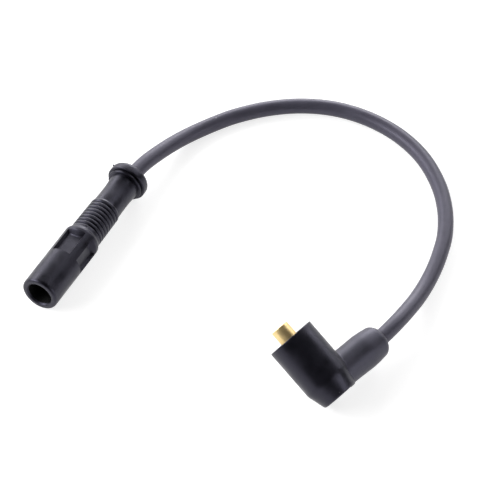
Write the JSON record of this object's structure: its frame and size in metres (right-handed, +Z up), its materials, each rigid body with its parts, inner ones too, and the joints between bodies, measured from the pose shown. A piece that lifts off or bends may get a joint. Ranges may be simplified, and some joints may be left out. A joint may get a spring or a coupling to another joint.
{
  "type": "spark plug wire",
  "caption": "Ignition lead: a black rubber cable with a straight plug boot at one end and a right-angle boot with a brass pin terminal at the other, laid in an open loop.",
  "frame": {"origin": "on the surface that the lead lies on, below the middle of the box round the two boots and their terminals", "axes": "+Y along the plug boot, from its mouth towards the cable, +X from the plug boot towards the right-angle boot, +Z up; the box round the two boots is longest along X"},
  "size_m": [0.1506, 0.1661, 0.0305],
  "materials": {
    "boot_rubber": "satin",
    "cable_rubber": "satin",
    "brass": "satin",
    "steel": "satin"
  },
  "bodies": {
    "root": {"plug_boot": "boot_rubber", "plug_terminal": "steel", "coil_boot": "boot_rubber", "coil_terminal": "brass", "ignition_cable": "cable_rubber"}
  },
  "joints": []
}
